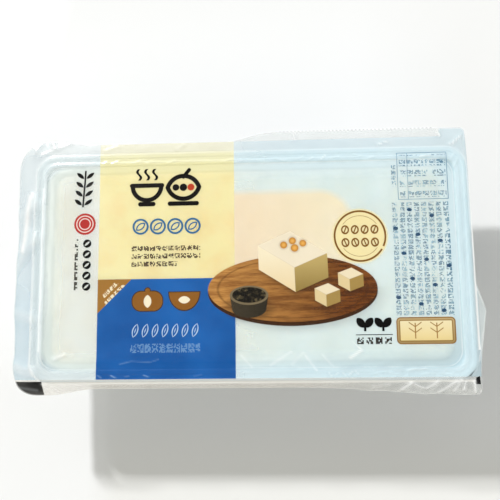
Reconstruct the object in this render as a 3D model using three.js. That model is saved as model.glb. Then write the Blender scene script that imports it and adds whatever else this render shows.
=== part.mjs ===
// A sealed retail tray of set tofu: a thin formed tray with a flat sealing flange, the soft block that
// fills it, and the lid film sealed across the flange. Millimetres, +Z up. The origin is the middle of
// the tray's flat base, +X runs along the long side and -Y is the front.
import * as THREE from "three";

// Tray
const FLANGE_LENGTH = 170.4;
const FLANGE_WIDTH = 90.2;
const FLANGE_CORNER = 8.5;
const FLANGE_TOP = 38.6; // height of the sealing face above the base
const SHEET = 0.7; // thickness of the formed sheet
const LIP_DROP = 2.4; // depth of the turned-down rim
const LIP_FLARE = 0.4; // how much further out the rim's lower edge stands than its bend
const RIM_BEND = 0.8; // radius between the sealing face and the rim
const OPENING_INSET = 4.8; // from the flange's edge to the mouth of the tray
const OPENING_CORNER = 5.0;
const MOUTH_TAPER = 0.25; // the mouth's short wall leans in by this much at the ledge
const LEDGE_DEPTH = 2.0; // the shallow step just inside the mouth
const LEDGE_WIDTH = 2.7;
const WALL_DRAFT = THREE.MathUtils.degToRad(7);
const WALL_CORNER = 6.5; // upright corner radius at the ledge
const FLOOR_CORNER = 9.5; // the same at the foot of the wall
const FOOT_RADIUS = 5; // inside radius where the wall meets the floor

// Tofu block
const BLOCK_GAP = 0.3; // clearance to the tray all round
const BLOCK_TOP = 37.8;
const BLOCK_EDGE = 1.2; // radius of the top edge

// Lid film
const FILM = 0.25;
const FILM_LIFT = 0.05; // between the sealing face and the film
const FILM_LEFT = -91.9;
const FILM_RIGHT = 85.7;
const FILM_FRONT = -46.1;
const FILM_BACK = 49.0;
const FILM_CORNERS = [2.0, 1.8, 9.0, 9.5]; // front right, back right, back left, front left
const BEAD_INSET = 4.6; // the film stands up in a bead round the mouth
const BEAD_RISE = 0.28;
const BEAD_HALF = 0.6;
const FILM_DIP = 0.35; // how far the film lies under the sealing face, inside the mouth
const FILM_MIDDLE_INSET = 24;

// Loose margin of the film beyond the plain outline, and how it hangs
const BACK_STRIP = 3.4; // wider cut along the back, right of the middle
const BACK_FLAP = 1.9; // small flap at the back left corner
const FRONT_STRIP = 3.5; // wider cut along the front, growing towards the right
const FRONT_FLAP = 2.4; // wider cut at the front left corner
const SIDE_FOLD = 3.6; // pointed fold that stands out at the right end
const SIDE_TAPER = 0.9; // the right edge runs in towards the back
const LEFT_SAG = 0.036; // sag in mm for each squared mm beyond the flange
const FRONT_SAG = 0.06;
const BACK_LIFT = 0.012;
const WAVE_HEIGHT = 0.22;
const WAVE_LENGTH = 4.1; // one wave is 2 pi times this

const CORNER_STEPS = 7;
const BEND_STEPS = 4;
const FILM_SIDE_STEPS = 16;

const smooth = THREE.MathUtils.smoothstep;

// A rise from 0 to 1 and back to 0 with straight flanks, centred on `centre`.
function peak(value, centre, half) {
  return Math.max(0, 1 - Math.abs(value - centre) / half);
}

// The points of a rounded rectangle, counter-clockwise from the foot of the front right corner. Each
// side is cut into sideSteps, so loops with the same steps match point for point.
function loop({ left, right, front, back }, radii, sideSteps = 1) {
  const centres = [
    [right - radii[0], front + radii[0]],
    [right - radii[1], back - radii[1]],
    [left + radii[2], back - radii[2]],
    [left + radii[3], front + radii[3]],
  ];
  const arcs = centres.map(([x, y], corner) =>
    Array.from({ length: CORNER_STEPS + 1 }, (_, step) => {
      const angle = (corner - 1 + step / CORNER_STEPS) * (Math.PI / 2);
      const radius = radii[corner];
      return new THREE.Vector2(x + radius * Math.cos(angle), y + radius * Math.sin(angle));
    }),
  );
  return arcs.flatMap((arc, corner) => {
    const from = arc[CORNER_STEPS];
    const to = arcs[(corner + 1) % 4][0];
    const side = Array.from({ length: sideSteps - 1 }, (_, step) =>
      from.clone().lerp(to, (step + 1) / sideSteps),
    );
    return [...arc, ...side];
  });
}

// The loop that lies `inset` inside the flange's edge.
function insetLoop(inset, radius, sideSteps) {
  const right = FLANGE_LENGTH / 2 - inset;
  const back = FLANGE_WIDTH / 2 - inset;
  return loop({ left: -right, right, front: -back, back }, Array(4).fill(radius), sideSteps);
}

// A flat loop lifted to a height, which may be a number or a function of x and y.
function lifted(points, height) {
  return points.map(({ x, y }) => {
    const z = typeof height === "function" ? height(x, y) : height;
    return new THREE.Vector3(x, y, z);
  });
}

// One closed solid through a list of rings: neighbouring rings are joined point for point, and the
// first and last are closed by a fan about their middle.
function solidThrough(rings) {
  const count = rings[0].length;
  const positions = rings.flat().flatMap((point) => point.toArray());
  const faces = [];
  for (let ring = 0; ring + 1 < rings.length; ring += 1) {
    for (let i = 0; i < count; i += 1) {
      const a = ring * count + i;
      const b = ring * count + ((i + 1) % count);
      faces.push(a, b + count, b, a, a + count, b + count);
    }
  }
  const addFan = (ring, outward) => {
    const middle = new THREE.Vector3();
    rings[ring].forEach((point) => middle.add(point));
    middle.divideScalar(count);
    const hub = positions.length / 3;
    positions.push(middle.x, middle.y, middle.z);
    for (let i = 0; i < count; i += 1) {
      const a = ring * count + i;
      const b = ring * count + ((i + 1) % count);
      faces.push(hub, outward ? a : b, outward ? b : a);
    }
  };
  addFan(0, true);
  addFan(rings.length - 1, false);
  const geometry = new THREE.BufferGeometry();
  geometry.setAttribute("position", new THREE.Float32BufferAttribute(positions, 3));
  geometry.setIndex(faces);
  geometry.computeVertexNormals();
  return geometry;
}

// Stations [inset, z, corner] down a drafted wall and round the bend at its foot. `grow` moves the
// surface outwards, towards the tray's outside.
function wallStations(topZ, grow) {
  const ledgeZ = FLANGE_TOP - LEDGE_DEPTH;
  const footRadius = FOOT_RADIUS + grow;
  const floorZ = SHEET - grow;
  const startInset = OPENING_INSET + LEDGE_WIDTH - grow / Math.cos(WALL_DRAFT);
  const insetAt = (z) => startInset + (ledgeZ - z) * Math.tan(WALL_DRAFT);
  const cornerAt = (z) =>
    THREE.MathUtils.mapLinear(z, ledgeZ, floorZ, WALL_CORNER + grow, FLOOR_CORNER + grow);
  const stations = [[insetAt(topZ), topZ, cornerAt(topZ)]];
  const bendZ = floorZ + footRadius;
  const tangentZ = bendZ - footRadius * Math.sin(WALL_DRAFT);
  const bendInset = insetAt(tangentZ) + footRadius * Math.cos(WALL_DRAFT);
  for (let step = 0; step <= BEND_STEPS; step += 1) {
    const angle = THREE.MathUtils.lerp(WALL_DRAFT, Math.PI / 2, step / BEND_STEPS);
    const inset = bendInset - footRadius * Math.cos(angle);
    const z = bendZ - footRadius * Math.sin(angle);
    stations.push([inset, z, cornerAt(z)]);
  }
  return stations;
}

function ringsOf(stations) {
  return stations.map(([inset, z, corner]) => lifted(insetLoop(inset, corner), z));
}

// The tray runs from the middle of its floor up the inside, over the flange, round the turned-down
// rim and down the outside to the base.
function trayGeometry() {
  const ledgeZ = FLANGE_TOP - LEDGE_DEPTH;
  const inside = wallStations(ledgeZ, 0).reverse();
  const outside = wallStations(ledgeZ - SHEET, SHEET);
  const rimBottom = FLANGE_TOP - LIP_DROP;
  const underside = FLANGE_TOP - SHEET;
  const mouth = [
    [OPENING_INSET + MOUTH_TAPER, ledgeZ, OPENING_CORNER],
    [OPENING_INSET, FLANGE_TOP, OPENING_CORNER],
  ];
  const bend = [0, 0.5, 1].map((share) => {
    const angle = share * (Math.PI / 2);
    const inset = LIP_FLARE + RIM_BEND * (1 - Math.sin(angle));
    return [inset, FLANGE_TOP - RIM_BEND * (1 - Math.cos(angle)), FLANGE_CORNER - inset];
  });
  const lip = [
    [0, rimBottom, FLANGE_CORNER],
    [SHEET, rimBottom, FLANGE_CORNER - SHEET],
    [LIP_FLARE + SHEET, underside, FLANGE_CORNER - LIP_FLARE - SHEET],
  ];
  const under = [
    [OPENING_INSET - SHEET, underside, OPENING_CORNER + SHEET],
    [OPENING_INSET + MOUTH_TAPER - SHEET, ledgeZ - SHEET, OPENING_CORNER + SHEET],
  ];
  const section = [...inside, ...mouth, ...bend.reverse(), ...lip, ...under, ...outside];
  return solidThrough(ringsOf(section));
}

// The block takes the tray's inside form, a little clear of it, with a soft top edge.
function blockGeometry() {
  const body = wallStations(BLOCK_TOP - BLOCK_EDGE, -BLOCK_GAP);
  const [topInset, , topCorner] = body[0];
  const edge = [1, 0.75, 0.5, 0.25].map((share) => {
    const angle = share * (Math.PI / 2);
    const inset = topInset + BLOCK_EDGE * (1 - Math.cos(angle));
    return [inset, BLOCK_TOP - BLOCK_EDGE * (1 - Math.sin(angle)), topCorner];
  });
  return solidThrough(ringsOf([...edge, ...body]));
}

// How far the film's cut edge stands beyond its plain outline, along the back, front and right.
function trimmedEdge({ x, y }) {
  const backStrip = BACK_STRIP * smooth(x, -10, 8) + BACK_FLAP * peak(x, -79, 12);
  const frontStrip = FRONT_STRIP * smooth(x, 5, 78) + FRONT_FLAP * (1 - smooth(x, -78, -58));
  const sideFold = SIDE_FOLD * peak(y, -17.5, 18) - SIDE_TAPER * smooth(y, 24, 48);
  const backShare = smooth(y, 36, 48);
  const frontShare = 1 - smooth(y, -44, -32);
  const rightShare = smooth(x, 70, 84);
  return new THREE.Vector2(
    x + sideFold * rightShare,
    y + backStrip * backShare - frontStrip * frontShare,
  );
}

// The loose margin hangs a little: most at the left end, least along the back.
function marginSag(x, y) {
  const left = Math.max(0, -FLANGE_LENGTH / 2 - x);
  const front = Math.max(0, -FLANGE_WIDTH / 2 - y);
  const back = Math.max(0, y - FLANGE_WIDTH / 2);
  const waves = WAVE_HEIGHT * Math.sin(x / WAVE_LENGTH) * Math.min(1, front / 2);
  return BACK_LIFT * back * back - LEFT_SAG * left * left - FRONT_SAG * front * front + waves;
}

// The film is a thin sheet whose top and bottom faces share the same rings.
function filmGeometry() {
  const box = { left: FILM_LEFT, right: FILM_RIGHT, front: FILM_FRONT, back: FILM_BACK };
  const cut = loop(box, FILM_CORNERS, FILM_SIDE_STEPS).map(trimmedEdge);
  const edge = insetLoop(LIP_FLARE + RIM_BEND, FLANGE_CORNER - RIM_BEND, FILM_SIDE_STEPS);
  const between = (share) => cut.map((point, i) => point.clone().lerp(edge[i], share));
  const faceZ = FLANGE_TOP + FILM_LIFT;
  const marginZ = (x, y) => faceZ + marginSag(x, y);
  const inner = (inset, corner, rise) => [insetLoop(inset, corner, FILM_SIDE_STEPS), faceZ + rise];
  const levels = [
    [cut, marginZ],
    [between(0.35), marginZ],
    [between(0.7), marginZ],
    [edge, faceZ],
    inner(BEAD_INSET - BEAD_HALF, OPENING_CORNER + BEAD_HALF, 0),
    inner(BEAD_INSET, OPENING_CORNER, BEAD_RISE),
    inner(BEAD_INSET + BEAD_HALF, OPENING_CORNER - BEAD_HALF, 0),
    inner(BEAD_INSET + 3 * BEAD_HALF, OPENING_CORNER - BEAD_HALF, -FILM_DIP),
    inner(OPENING_INSET + LEDGE_WIDTH, WALL_CORNER, -0.7 * FILM_DIP),
    inner(FILM_MIDDLE_INSET, FILM_MIDDLE_INSET / 2, -FILM_DIP),
  ];
  const under = levels.map(([points, height]) => lifted(points, height));
  const over = under.map((ring) => ring.map((p) => new THREE.Vector3(p.x, p.y, p.z + FILM)));
  return solidThrough([...over.reverse(), ...under]);
}

function piece(name, geometry, material) {
  const mesh = new THREE.Mesh(geometry, material);
  mesh.name = name;
  return mesh;
}

const milkyTray = new THREE.MeshStandardMaterial({ color: 0xdfe6e8, roughness: 0.32, metalness: 0 });
const softTofu = new THREE.MeshStandardMaterial({ color: 0xece9dc, roughness: 0.45, metalness: 0 });
const printedFilm = new THREE.MeshStandardMaterial({ color: 0xcfe2ea, roughness: 0.15, metalness: 0 });

const pack = new THREE.Group();
pack.add(piece("tray", trayGeometry(), milkyTray));
pack.add(piece("tofu", blockGeometry(), softTofu));
pack.add(piece("lid_film", filmGeometry(), printedFilm));

export default pack;
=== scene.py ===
import math

import bmesh
import bpy
import numpy as np
from mathutils import Matrix, Vector


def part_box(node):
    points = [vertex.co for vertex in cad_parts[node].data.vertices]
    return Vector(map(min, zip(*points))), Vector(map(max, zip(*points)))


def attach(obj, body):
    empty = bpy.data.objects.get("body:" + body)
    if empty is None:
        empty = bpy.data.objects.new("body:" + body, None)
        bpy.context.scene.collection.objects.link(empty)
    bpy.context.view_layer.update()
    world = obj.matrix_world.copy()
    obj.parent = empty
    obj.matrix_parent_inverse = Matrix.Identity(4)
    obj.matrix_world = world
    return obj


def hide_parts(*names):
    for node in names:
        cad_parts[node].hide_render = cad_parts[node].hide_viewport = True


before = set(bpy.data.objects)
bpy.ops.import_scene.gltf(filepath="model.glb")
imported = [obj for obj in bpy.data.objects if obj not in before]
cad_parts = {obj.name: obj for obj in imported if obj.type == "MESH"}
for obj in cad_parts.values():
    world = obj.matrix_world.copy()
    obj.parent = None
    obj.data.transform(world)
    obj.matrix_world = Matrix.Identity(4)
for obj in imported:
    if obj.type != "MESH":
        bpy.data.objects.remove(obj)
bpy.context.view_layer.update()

# A sealed retail pack of set tofu: a thin formed tray, the soft block in it and the printed lid
# film sealed across the flange. Lengths are millimetres until a mesh is made. +Z is up, -Y is the
# front.
MM = 0.001
_, tray_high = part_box("tray")
_, tofu_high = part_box("tofu")

# Tray
HALF_LENGTH = tray_high.x / MM
HALF_WIDTH = tray_high.y / MM
FLANGE_TOP = tray_high.z / MM
FLANGE_CORNER = 8.5
SHEET = 0.6
LIP_DROP = 2.4
LIP_FLARE = 0.4
RIM_BEND = 0.8
OPENING_INSET = 4.8
OPENING_CORNER = 5
LEDGE_DEPTH = 2
LEDGE_WIDTH = 2.7
WALL_DRAFT = math.radians(7)
WALL_CORNER = 6.5
FLOOR_CORNER = 9.5
FOOT_RADIUS = 5
EDGE_RADIUS = 0.5  # where the ledge and the flange turn down
WALL_BOW = 0.06

# Tofu block
BLOCK_GAP = 0.3
BLOCK_TOP = tofu_high.z / MM
BLOCK_EDGE = 1.4
BLOCK_SWELLS = ((0.1, 21, 3), (0.05, 7, 4))  # height, wavelength and seed on its top
BLOCK_SETTLING = 0.15
BLOCK_RAGGEDNESS = 0.12

# Lid film
FILM = 0.12
FILM_FACE = FLANGE_TOP + FILM  # middle of the film where it is sealed to the flange
# The cut is a rounded rectangle with strips and flaps that stand out past it.
FILM_MID = (-3.1, 1.05)
FILM_HALF = (88.8, 47.95)
FILM_CORNERS = (2, 1.8, 9, 9.5)  # front right, back right, back left, front left
BACK_STRIP, BACK_FLAP = 3.4, 1.9
FRONT_STRIP, FRONT_FLAP = 3.1, 2.4
SIDE_FOLD, SIDE_CUT = 3.3, 0.9
CUT_TEETH = 0.5
RIDGES = (1.15, 4.35)  # how far inside the rim the two flat-topped ridges lie
RIDGE_HEIGHT, FRONT_RIDGE_HEIGHT = 0.19, 0.1
MOUTH_HOLLOW = 0.16
# How far the margin drops for each squared millimetre past the flange: left, right, front, back
MARGIN_SAG = (0.034, 0.05, 0.06, 0.014)

# Where the print's own middle lies
PRINT_SHIFT = (0.35, 2.45)

# Meshes
SEWN_DISTANCE = 1e-6  # metres
SHARP_EDGE = math.radians(38)


def smooth(value, low, high):
    """0 below low, 1 above high, and three squares less two cubes of the share in between."""
    share = np.clip((value - low) / (high - low), 0, 1)
    return share * share * (3 - 2 * share)


def hump(value, centre, half):
    """The squared cosine that is 1 at the centre and 0 from half to either side of it."""
    share = np.clip((value - centre) / half, -1, 1)
    return np.cos(share * np.pi / 2) ** 2


def swell(x, y, wavelength, seed, waves=10):
    """An even random swell of about -1 to 1: plane waves of about one length in random
    directions."""
    draw = np.random.default_rng(seed)
    angles = draw.uniform(0, np.pi, waves)
    phases = draw.uniform(0, 2 * np.pi, waves)
    lengths = wavelength * draw.uniform(0.7, 1.4, waves)
    total = np.zeros(np.broadcast(x, y).shape)
    for angle, phase, length in zip(angles, phases, lengths):
        along = x * np.cos(angle) + y * np.sin(angle)
        total += np.sin(along * 2 * np.pi / length + phase)
    return total / math.sqrt(waves)


def off_line(x, y, start, end):
    """Each point's distance from the straight piece between start and end."""
    along = np.subtract(end, start)
    share = ((x - start[0]) * along[0] + (y - start[1]) * along[1]) / (along @ along)
    share = np.clip(share, 0, 1)
    return np.hypot(x - start[0] - share * along[0], y - start[1] - share * along[1])


class Track:
    """One turn round a rounded rectangle, counter-clockwise from the foot of the front right
    corner.

    Each station has a place on the rectangle of corner centres, from -1 to 1 along x and y, and an
    outward direction, which turns through a quarter circle at a corner and stays still along a
    side."""

    def __init__(self, long_steps, short_steps, corner_steps):
        corners = [(1, -1), (1, 1), (-1, 1), (-1, -1)]
        places, angles, marks = [], [], []
        for number, steps in enumerate([short_steps, long_steps, short_steps, long_steps]):
            here = np.array(corners[number])
            there = np.array(corners[(number + 1) % 4])
            quarter = (number - 1 + np.linspace(0, 1, corner_steps + 1)) * np.pi / 2
            share = np.linspace(0, 1, steps + 1)[1:-1]
            along = here + np.outer(share, there - here)
            places += [np.repeat([here], corner_steps + 1, 0), along]
            angles += [quarter, np.full(steps - 1, quarter[-1])]
            marks += [np.full(corner_steps + 1, number), number + share]
        place = np.concatenate(places)
        angle = np.concatenate(angles)
        self.place_x, self.place_y = place[:, 0], place[:, 1]
        self.out_x, self.out_y = np.cos(angle), np.sin(angle)
        self.mark = np.concatenate(marks)

    def loop(self, half_x, half_y, corner, middle=(0, 0)):
        """The corner centre's place times what the corner leaves of each half, plus the corner
        radius along the outward direction. Sizes may be columns, one row for each ring."""
        x = middle[0] + self.place_x * (half_x - corner) + self.out_x * corner
        y = middle[1] + self.place_y * (half_y - corner) + self.out_y * corner
        return x, y

    def inset(self, inset, corner):
        """Rings that lie inset inside the flange's edge."""
        inset = np.reshape(inset, (-1, 1))
        corner = np.reshape(corner, (-1, 1))
        return self.loop(HALF_LENGTH - inset, HALF_WIDTH - inset, corner)


def add(name, data):
    """A new object in the scene."""
    added = bpy.data.objects.new(name, data)
    bpy.context.scene.collection.objects.link(added)
    return added


def closed_mesh(name, x, y, z, **attributes):
    """A closed shell through rings of points, one row for each ring. Neighbouring rings are joined
    by quads, and the first and last ring, which lie folded on a line, are sewn shut."""
    rings, count = x.shape
    index = np.arange(rings * count).reshape(rings, count)
    following = np.roll(index, -1, axis=1)
    quads = np.stack([index[:-1], index[1:], following[1:], following[:-1]], axis=-1)
    mesh = bpy.data.meshes.new(name)
    points = np.stack([x, y, np.broadcast_to(z, x.shape)], axis=-1).reshape(-1, 3) * MM
    mesh.from_pydata(points.tolist(), [], quads.reshape(-1, 4).tolist())
    for key, values in attributes.items():
        layer = mesh.attributes.new(key, "FLOAT", "POINT")
        layer.data.foreach_set("value", values.astype(np.float32).ravel())
    sewn = bmesh.new()
    sewn.from_mesh(mesh)
    bmesh.ops.remove_doubles(sewn, verts=sewn.verts, dist=SEWN_DISTANCE)
    bmesh.ops.recalc_face_normals(sewn, faces=sewn.faces)
    sewn.to_mesh(mesh)
    sewn.free()
    mesh.shade_smooth()
    mesh.set_sharp_from_angle(angle=SHARP_EDGE)
    return add(name, mesh)


# ------------------------------ Tray and block


def wall_stations(top, grow, steps=10):
    """Inset, height and corner radius down a drafted wall and round the bend at its foot: a
    straight slope, then an arc that ends flat. grow moves the surface out, towards the tray's
    outside."""
    ledge = FLANGE_TOP - LEDGE_DEPTH
    foot = FOOT_RADIUS + grow
    floor = SHEET - grow
    start = OPENING_INSET + LEDGE_WIDTH - grow / math.cos(WALL_DRAFT)
    bend_z = floor + foot
    slope = math.tan(WALL_DRAFT)
    end_z = bend_z - foot * math.sin(WALL_DRAFT)
    bend_inset = start + (ledge - end_z) * slope + foot * math.cos(WALL_DRAFT)
    straight_z = np.linspace(top, end_z, steps, endpoint=False)
    angle = np.linspace(WALL_DRAFT, np.pi / 2, steps)
    straight_inset = start + (ledge - straight_z) * slope
    inset = np.concatenate([straight_inset, bend_inset - foot * np.cos(angle)])
    z = np.concatenate([straight_z, bend_z - foot * np.sin(angle)])
    corner = np.interp(z, [floor, ledge], [FLOOR_CORNER + grow, WALL_CORNER + grow])
    return np.stack([inset, z, corner])


def cap_stations(edge, steps=6):
    """Flat rings from a station in to the middle line, where the last one has no width."""
    inset, z, corner = edge
    share = np.linspace(0, 1, steps + 1)[1:]
    ring_inset = inset + (HALF_WIDTH - inset) * share
    return np.stack([ring_inset, np.full(steps, z), corner * (1 - share)])


def arc_stations(inset, z, radius, start, end, corner, steps=6):
    """An arc in the section about (inset, z), from one angle to the other. Angle 0 points
    inwards."""
    angle = np.linspace(start, end, steps)
    ring_inset = inset + radius * np.cos(angle)
    return np.stack([ring_inset, z + radius * np.sin(angle), corner - (ring_inset - inset)])


def make_tray():
    """The section runs from the floor's middle up the inside, over the flange, round the
    turned-down rim and down the outside to the base's middle. Each part holds insets, heights and
    corners."""
    ledge, under, bottom = (FLANGE_TOP - drop for drop in (LEDGE_DEPTH, SHEET, LIP_DROP))
    inside = wall_stations(ledge - EDGE_RADIUS, 0)[:, ::-1]
    outside = wall_stations(ledge - SHEET, SHEET)
    rim_inset = LIP_FLARE + RIM_BEND
    lip_back = LIP_FLARE + SHEET
    mouth_back = OPENING_INSET - SHEET
    quarter = np.pi / 2
    ledge_edge = arc_stations(inside[0, -1] - EDGE_RADIUS, ledge - EDGE_RADIUS, EDGE_RADIUS,
                              0.12, quarter, WALL_CORNER)
    step = np.array([[OPENING_INSET + 1, OPENING_INSET + 0.35, OPENING_INSET + 0.15],
                     [ledge, ledge + 0.1, ledge + 0.5],
                     [OPENING_CORNER, OPENING_CORNER, OPENING_CORNER]])
    mouth = arc_stations(OPENING_INSET - EDGE_RADIUS, FLANGE_TOP - EDGE_RADIUS, EDGE_RADIUS,
                         0.1, quarter, OPENING_CORNER)
    flange = np.array([[3.4, 2], [FLANGE_TOP, FLANGE_TOP], [6.2, 7.2]])
    bend = arc_stations(rim_inset, FLANGE_TOP - RIM_BEND, RIM_BEND, quarter, 2 * quarter,
                        FLANGE_CORNER - rim_inset, 8)
    lip = np.array([[0.05, 0, 0.08, 0.45, SHEET, lip_back],
                    [bottom + 0.25, bottom + 0.1, bottom, bottom, bottom + 0.1, under - 0.3],
                    [8.4, 8.5, 8.4, 8.1, 7.9, 7.5]])
    below = np.array([[lip_back + 0.4, mouth_back - 0.3, mouth_back, mouth_back + 0.15],
                      [under, under, under - 0.3, ledge - SHEET + 0.2],
                      [7.1, 5.9, 5.6, 5.6]])
    section = [cap_stations(inside[:, 0])[:, ::-1], inside, ledge_edge, step, mouth, flange, bend,
               lip, below, outside, cap_stations(outside[:, -1])]
    inset, z, corner = np.concatenate(section, axis=1)
    x, y = Track(72, 40, 12).inset(inset, corner)
    z = np.repeat(z[:, None], x.shape[1], 1)
    bow = WALL_BOW * swell(x, y + z, 26, seed=5) * smooth(z, 12, 26) * (z <= ledge - 1)
    return closed_mesh("tray", x, y + bow * np.sign(y), z)


def make_block():
    """The block takes the tray's inside form, a little clear of it. Its top is cut flat with a
    soft edge and swells a little."""
    wall = wall_stations(BLOCK_TOP - BLOCK_EDGE, -BLOCK_GAP, steps=16)
    inset, _, corner = wall[:, 0]
    angle = np.linspace(0, np.pi / 2, 8)[::-1][:-1]
    edge = np.stack([inset + BLOCK_EDGE * (1 - np.cos(angle)),
                     BLOCK_TOP - BLOCK_EDGE * (1 - np.sin(angle)),
                     corner - BLOCK_EDGE * (1 - np.cos(angle)) / 2])
    top = cap_stations(edge[:, 0], steps=26)[:, ::-1]
    section = np.concatenate([top, edge, wall, cap_stations(wall[:, -1], steps=8)], axis=1)
    inset, z, corner = section
    x, y = Track(150, 70, 12).inset(inset, corner)
    height = np.repeat(z[:, None], x.shape[1], 1)
    level = smooth(height, BLOCK_TOP - 1, BLOCK_TOP)
    dip = sum(rise * swell(x, y, wave, seed) for rise, wave, seed in BLOCK_SWELLS) - BLOCK_SETTLING
    ragged = BLOCK_RAGGEDNESS * swell(x, y + height, 9, seed=8) * (1 - level)
    return closed_mesh("tofu", x + ragged * np.sign(x), y, height + dip * level)


# ------------------------------ Lid film

# Where each fold or crinkle starts and ends, measured from the print's own middle, the height
# and width of its ridge, and how strong the painted highlight on its crest is.
FOLDS = [
    # Crinkles along the back
    (-57.5, 38.6, -56.3, 39.6, 0.14, 0.45, 0), (-54, 38.5, -51.3, 39.9, 0.17, 0.45, 0.05),
    (-46, 38.5, -42, 39.9, 0.15, 0.45, 0.05), (-40, 38.4, -38.6, 39.4, 0.14, 0.45, 0),
    (-31.8, 38.2, -29.2, 39.5, 0.17, 0.45, 0.1), (-24, 38.5, -21.5, 39.3, 0.1, 0.5, 0),
    (-9.5, 38.3, -6.5, 39.4, 0.2, 0.5, 0.1), (11, 38.9, 14.2, 38, 0.18, 0.45, 0.1),
    (18.4, 38.4, 21.4, 39.6, 0.22, 0.45, 0.1), (23.6, 38.2, 25.2, 39.1, 0.24, 0.42, 0.2),
    (28.2, 38, 30.2, 39.9, 0.3, 0.45, 0.3), (31.8, 38.6, 35.6, 39.3, 0.18, 0.42, 0.1),
    (41.4, 39.8, 44.6, 39.2, 0.16, 0.42, 0.1), (47, 38.3, 49.2, 38.7, 0.16, 0.4, 0.1),
    (66.6, 38.4, 71.2, 38.9, 0.26, 0.42, 0.5), (77.6, 36.8, 79.8, 39, 0.22, 0.45, 0.1),
    (79.6, 34, 81.2, 37.4, 0.22, 0.45, 0.1),
    # Crinkles along the front
    (-58.4, -44.4, -57.2, -45.2, 0.22, 0.4, 0.3), (-53.4, -44.4, -51.6, -45.3, 0.26, 0.4, 0.5),
    (-47.8, -44.9, -46.4, -44.6, 0.16, 0.36, 0.2), (-40.6, -44.4, -39, -45, 0.22, 0.38, 0.4),
    (-21.6, -44.9, -18.6, -44.3, 0.14, 0.42, 0.1), (29.2, -43.9, 30.2, -45.2, 0.16, 0.35, 0.3),
    (31.6, -44.9, 32.8, -44, 0.14, 0.35, 0.3), (34.2, -43.8, 35.4, -45.1, 0.16, 0.35, 0.3),
    (36.8, -44.8, 38.2, -43.4, 0.2, 0.38, 0.4), (38.8, -43, 40, -44.6, 0.16, 0.36, 0.3),
    (45.8, -44.6, 50.4, -43.9, 0.2, 0.45, 0), (51.5, -44.1, 55.6, -44.8, 0.16, 0.45, 0.1),
    (58.4, -43.3, 61.4, -42.9, 0.22, 0.45, 0.2), (62, -43.2, 65.2, -42.8, 0.2, 0.45, 0.2),
    (63.4, -44.9, 68.6, -44.3, 0.18, 0.45, 0.1), (70.4, -44.6, 74.6, -44.9, 0.16, 0.45, 0.1),
    (76.4, -43.9, 79.4, -42.2, 0.16, 0.45, 0),
    # Creases inside the flange
    (7.5, -41, 15.2, -36.2, 0.07, 0.7, 0.45), (15.4, -40.9, 19.8, -36.6, 0.05, 0.7, 0.3),
    (20.6, -37.6, 24.6, -43, 0.07, 0.7, 0.4), (0.5, -41.8, -3.5, -37.5, 0.05, 0.7, 0.3),
    (30.6, -41.4, 27, -37.4, 0.05, 0.7, 0.3), (37.4, -38.7, 41.6, -35.8, 0.16, 0.75, 0.8),
    (40.4, -40.6, 43.6, -38.8, 0.1, 0.6, 0), (48.4, -41.4, 52.6, -39.6, 0.12, 0.6, 0),
    (-75.6, -38, -71.8, -36.4, 0.26, 0.9, 0.7), (-71.8, -36.4, -68.8, -36.9, 0.2, 0.9, 0.3),
    (-50.2, -40.2, -45.8, -39.2, 0.06, 0.4, 0.24), (-45.8, -39.2, -38.6, -39.6, 0.05, 0.4, 0.2),
    (-38.6, -39.6, -35.4, -38.6, 0.04, 0.4, 0.16), (-78.4, 33, -77.6, 22, 0.14, 1.1, 0.1),
    (-78.2, 20, -76.8, 8, 0.14, 1.1, 0.1), (-78.6, 5, -77.8, -9, 0.14, 1.1, 0.05),
    (-77.4, 35, -71, 35.6, 0.14, 1, 0.1),
    # Folds of the loose margin at the left
    (-84.6, 22.4, -93.6, 17, 0.8, 3.4, 0.25), (-84.6, 8.6, -93.6, -3, 0.9, 3.2, 0.3),
    (-87, 26, -89.4, 4, 0.4, 2.4, 0.95), (-84.8, -22.6, -93.6, -19.6, 0.8, 3.4, 0.35),
    (-84.6, -43.2, -92, -40.6, 1.1, 3, 0.5), (-85.3, -34, -85.2, -42, 0.16, 0.5, 0.3),
    (-71.2, 47.6, -83.8, 42.4, 0.26, 0.55, 0.3), (-83.4, 47.8, -86.8, 42.6, 0.3, 0.8, 0.1),
    (-87.6, 46.4, -84, 43.4, 0.24, 0.7, 0.15), (-79.2, 48.6, -78, 45.4, 0.3, 0.9, 0.05),
    # Folds of the loose margin at the back
    (18.6, 50.2, 18.4, 46.6, 0.22, 0.55, 0.6), (74.6, 50.2, 74.7, 46.6, 0.34, 0.5, 1),
    (50.6, 43.7, 54.6, 44.9, 0.26, 0.5, 0.5), (78.6, 42.8, 82.8, 46.2, 0.42, 0.6, 0.9),
    (82.6, 44.6, 84.2, 36, 0.24, 0.6, 0.1), (-28.4, 43.6, -25.6, 45.8, 0.24, 0.8, 0.1),
    (-57, 43.8, -52, 45.6, 0.16, 0.9, 0),
    # Folds of the loose margin at the front and right
    (55.8, -50.4, 59.6, -48, 0.44, 0.8, 1), (60.2, -48.1, 64.8, -50.2, 0.36, 0.55, 0.8),
    (65.4, -49.8, 69.4, -47.6, 0.42, 0.85, 1), (69.8, -51.4, 76, -47.6, 0.44, 0.85, 1),
    (75.2, -51, 77.8, -47.2, 0.38, 0.8, 1), (78.6, -50.6, 79.4, -47.6, 0.34, 0.6, 1),
    (82.4, -47.4, 83, -51.6, 0.4, 0.85, 1), (45, -49, 52, -48.4, 0.2, 0.6, 0.4),
    (84.9, -12, 88.9, -21.2, 0.2, 0.5, 0.5), (84.9, -40, 88.9, -21.2, 0.2, 0.5, 0.6),
    (-72, -50.6, -80, -47.4, 0.24, 0.8, 0.2),
]


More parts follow.
